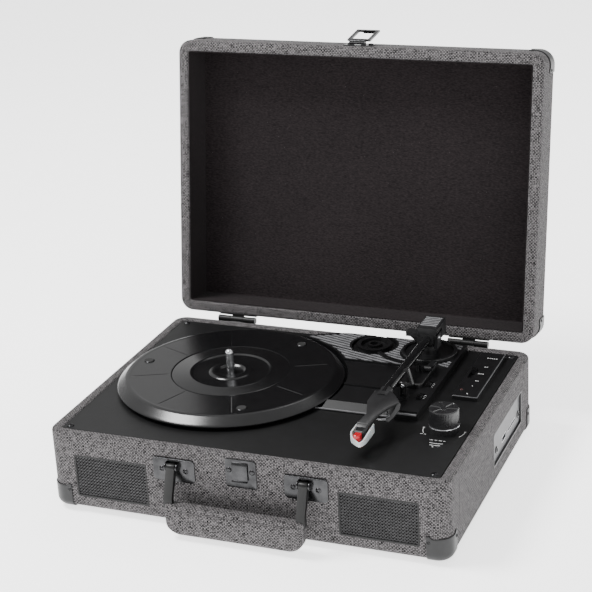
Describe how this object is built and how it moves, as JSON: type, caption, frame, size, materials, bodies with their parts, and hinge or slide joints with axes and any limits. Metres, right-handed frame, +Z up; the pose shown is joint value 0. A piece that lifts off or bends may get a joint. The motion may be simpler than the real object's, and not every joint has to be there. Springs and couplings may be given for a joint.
{
  "type": "suitcase record player",
  "caption": "Portable record player in a fabric-covered wooden suitcase: hinged latching lid, belt-driven platter, pivoting tonearm, front speakers, swinging handle and side sockets.",
  "frame": {"origin": "centre of the base footprint, on the plane that the rubber feet stand on", "axes": "+X to the right as seen from the front, +Y to the back where the lid hinges are, +Z up along the spindle"},
  "size_m": [0.3524, 0.3694, 0.3429],
  "materials": {
    "black_moulding": "satin",
    "black_plate": "textured satin",
    "black_screw": "black",
    "black_steel": "black lacquer",
    "brass": "turned",
    "bright_steel": "plated",
    "circuit_green": "lacquer",
    "dark_guard": "satin",
    "dark_steel": "grey lacquer",
    "gloss_black": "polished",
    "grey_plate": "grey lacquer",
    "grille_mesh": "fine mesh",
    "guard_clear": "translucent",
    "lamp": "clear red",
    "lid_lining": "napped",
    "linen_covering": "woven",
    "platter_black": "satin gloss",
    "rubber": "matt",
    "spindle_steel": "turned",
    "strap_black": "moulded",
    "stylus_red": "clear red",
    "wood_panel": "raw"
  },
  "bodies": {
    "root": {"base_wall_panels": "linen_covering", "base_bottom_panel": "black_screw", "base_corner_guards": "dark_guard", "rubber_feet": "rubber", "foot_screws": "black_screw", "top_plate": "black_plate", "corner_blocks": "wood_panel", "plate_screws": "black_screw", "hinge_base_leaves": "black_steel", "hinge_pins": "black_steel", "spindle_bush": "brass", "motor": "bright_steel", "drive_belt": "rubber", "deck_housing": "black_moulding", "tonearm_turret": "black_moulding", "control_panel": "black_moulding", "power_lamp": "lamp", "volume_potentiometer": "dark_steel", "arm_rest": "black_moulding", "speaker_grilles": "grille_mesh", "speakers": "black_steel", "handle_brackets": "dark_steel", "latch_keeper": "dark_steel", "case_screws": "dark_steel", "side_connector_plate": "grey_plate", "audio_jacks": "black_moulding", "media_sockets": "bright_steel", "circuit_board": "circuit_green", "rear_connector_plate": "black_moulding", "line_out_sockets": "brass", "power_inlet": "black_moulding"},
    "lid": {"lid_wall_panels": "linen_covering", "lid_top_panel": "linen_covering", "lid_lining": "lid_lining", "lid_corner_guards": "dark_guard", "hinge_lid_leaves": "black_steel", "latch_plate": "dark_steel"},
    "hasp": {"latch_hasp": "dark_steel"},
    "handle": {"handle_arms": "strap_black", "handle_grip": "linen_covering"},
    "turntable": {"platter": "platter_black", "platter_pads": "rubber", "spindle": "spindle_steel"},
    "pulley": {"motor_pulley": "brass"},
    "swivel": {"tonearm_yoke": "black_moulding"},
    "tonearm": {"arm_carrier": "dark_guard", "arm_tube": "gloss_black", "counterweight": "black_moulding", "headshell": "black_moulding", "cartridge": "black_moulding", "stylus": "stylus_red"},
    "needle_cover": {"stylus_guard": "guard_clear"},
    "cueing_lever": {"cue_lever": "gloss_black"},
    "cueing_bar": {"lift_bar": "black_moulding"},
    "rest_clip": {"arm_rest_clip": "black_moulding"},
    "speed_button": {"speed_switch": "gloss_black"},
    "stop_button": {"auto_stop_switch": "gloss_black"},
    "mode_button": {"mode_switch": "gloss_black"},
    "knob": {"volume_knob": "gloss_black"},
    "single_adapter": {"adapter_45": "black_moulding"}
  },
  "joints": [
    {"name": "lid_hinge", "type": "hinge", "parent": "root", "child": "lid", "pos_m": [0, 0.1345, 0.07425], "axis": [-1, 0, 0], "range_deg": [-99, 0]},
    {"name": "latch_hinge", "type": "hinge", "parent": "lid", "child": "hasp", "pos_m": [0.002, 0.18172, 0.33882], "axis": [-1, 0, 0], "range_deg": [-165, 8]},
    {"name": "handle_swing", "type": "hinge", "parent": "root", "child": "handle", "pos_m": [0, -0.1355, 0.058], "axis": [-1, 0, 0], "range_deg": [0, 110]},
    {"name": "platter_spin", "type": "hinge", "parent": "root", "child": "turntable", "pos_m": [-0.0635, 0.003, 0.073], "axis": [0, 0, 1], "continuous": true},
    {"name": "pulley_spin", "type": "hinge", "parent": "root", "child": "pulley", "pos_m": [0.00367, -0.04403, 0.079], "axis": [0, 0, 1], "continuous": true},
    {"name": "tonearm_swing", "type": "hinge", "parent": "root", "child": "swivel", "pos_m": [0.091, 0.094, 0.09], "axis": [0, 0, 1], "range_deg": [-45, 0]},
    {"name": "tonearm_lift", "type": "hinge", "parent": "swivel", "child": "tonearm", "pos_m": [0.091, 0.094, 0.095], "axis": [-1, 0, 0], "range_deg": [0, 4.67]},
    {"name": "stylus_guard_slide", "type": "slide", "parent": "tonearm", "child": "needle_cover", "axis": [0, -1, 0], "range_m": [0, 0.016]},
    {"name": "cue_lever_turn", "type": "hinge", "parent": "root", "child": "cueing_lever", "pos_m": [0.102, 0.045, 0.0865], "axis": [1, 0, 0], "range_deg": [0, 60.5]},
    {"name": "lift_bar_rise", "type": "slide", "parent": "root", "child": "cueing_bar", "axis": [0, 0, 1], "range_m": [0, 0.00405]},
    {"name": "rest_clip_turn", "type": "hinge", "parent": "root", "child": "rest_clip", "pos_m": [0.0985, -0.003, 0.092], "axis": [0, 1, 0], "range_deg": [-75, 0]},
    {"name": "speed_switch_slide", "type": "slide", "parent": "root", "child": "speed_button", "axis": [0, 1, 0], "range_m": [0, 0.006]},
    {"name": "auto_stop_slide", "type": "slide", "parent": "root", "child": "stop_button", "axis": [0, 1, 0], "range_m": [0, 0.006]},
    {"name": "mode_switch_slide", "type": "slide", "parent": "root", "child": "mode_button", "axis": [0, -1, 0], "range_m": [0, 0.012]},
    {"name": "volume_turn", "type": "hinge", "parent": "root", "child": "knob", "pos_m": [0.145, -0.04, 0.076], "axis": [0, 0, -1], "range_deg": [0, 280]},
    {"name": "adapter_lift", "type": "slide", "parent": "root", "child": "single_adapter", "axis": [0, 0, 1], "range_m": [0, 0.012]}
  ],
  "couplings": [
    {"joint": "pulley_spin", "follows": "platter_spin", "ratio": 12.818},
    {"joint": "lift_bar_rise", "follows": "tonearm_lift", "m_per_rad": 0.049},
    {"joint": "cue_lever_turn", "follows": "tonearm_lift", "ratio": 12.85}
  ]
}
